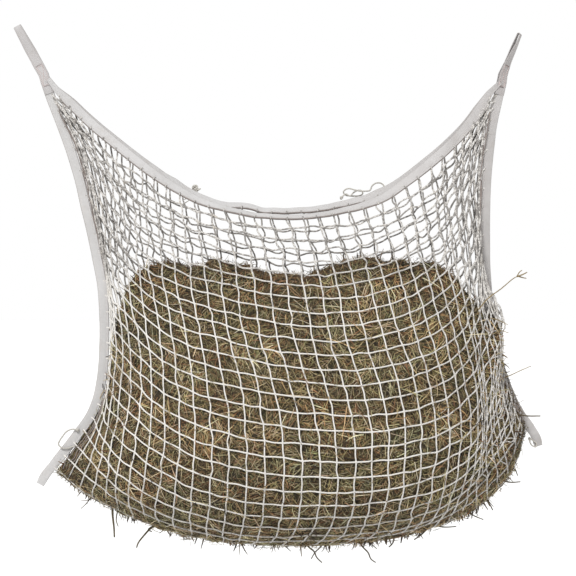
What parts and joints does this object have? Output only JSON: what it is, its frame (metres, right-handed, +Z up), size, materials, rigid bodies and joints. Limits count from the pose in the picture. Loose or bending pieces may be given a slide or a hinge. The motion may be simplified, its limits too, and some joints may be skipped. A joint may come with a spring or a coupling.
{
  "type": "slow feeder hay net",
  "caption": "Square-mesh slow feeder hay net with webbing edges, hung by two webbing loops and filled with hay.",
  "frame": {"origin": "midway between the two points where the hanging loops pass over their hooks", "axes": "+Z up, +X along the mouth towards the right-hand loop, -Y towards the front of the net"},
  "size_m": [1.3256, 0.533, 1.299],
  "materials": {
    "webbing": "off-white woven polypropylene webbing, soft sheen",
    "netting": "off-white knotless knitted net cord, matte",
    "thread": "polyester sewing thread, faint pink-grey",
    "cord": "thin braided tie cord, matte grey-white",
    "hay": "dry meadow hay, olive to tan stalks and leaf"
  },
  "bodies": {
    "hangers": {"hang_loop_left": "webbing", "hang_loop_right": "webbing", "bartack_left": "thread", "bartack_right": "thread"},
    "bag": {"side_binding_left": "webbing", "side_binding_right": "webbing", "side_seam_left": "thread", "side_seam_right": "thread", "net_front_lower": "netting", "net_rear_lower": "netting", "net_bottom": "netting", "hay_fill": "hay", "tie_cord_left": "cord"},
    "front_edge": {"top_binding_front": "webbing", "top_seam_front": "thread", "net_front_upper": "netting"},
    "rear_edge": {"top_binding_rear": "webbing", "top_seam_rear": "thread", "net_rear_upper": "netting", "tie_cord_top": "cord", "tie_knot_top": "cord"},
    "tail_left": {"webbing_tail_left": "webbing"},
    "tail_right": {"webbing_tail_right": "webbing", "tie_cord_right": "cord"}
  },
  "joints": [
    {"name": "bag_swing", "type": "hinge", "parent": "hangers", "child": "bag", "pos_m": [0, 0, -0.124], "axis": [1, 0, 0], "range_deg": [-35, 35]},
    {"name": "front_edge_pull", "type": "hinge", "parent": "bag", "child": "front_edge", "pos_m": [0, 0, -0.124], "axis": [-1, 0, 0], "range_deg": [0, 30]},
    {"name": "rear_edge_pull", "type": "hinge", "parent": "bag", "child": "rear_edge", "pos_m": [0, 0, -0.124], "axis": [1, 0, 0], "range_deg": [0, 30]},
    {"name": "tail_left_flex", "type": "hinge", "parent": "bag", "child": "tail_left", "pos_m": [-0.53802, 0, -1.07721], "axis": [-0.7817, 0, 0.6237], "range_deg": [-30, 30]},
    {"name": "tail_right_flex", "type": "hinge", "parent": "bag", "child": "tail_right", "pos_m": [0.64117, 0.00263, -0.99476], "axis": [-0.8248, 0, -0.5655], "range_deg": [-30, 30]}
  ]
}
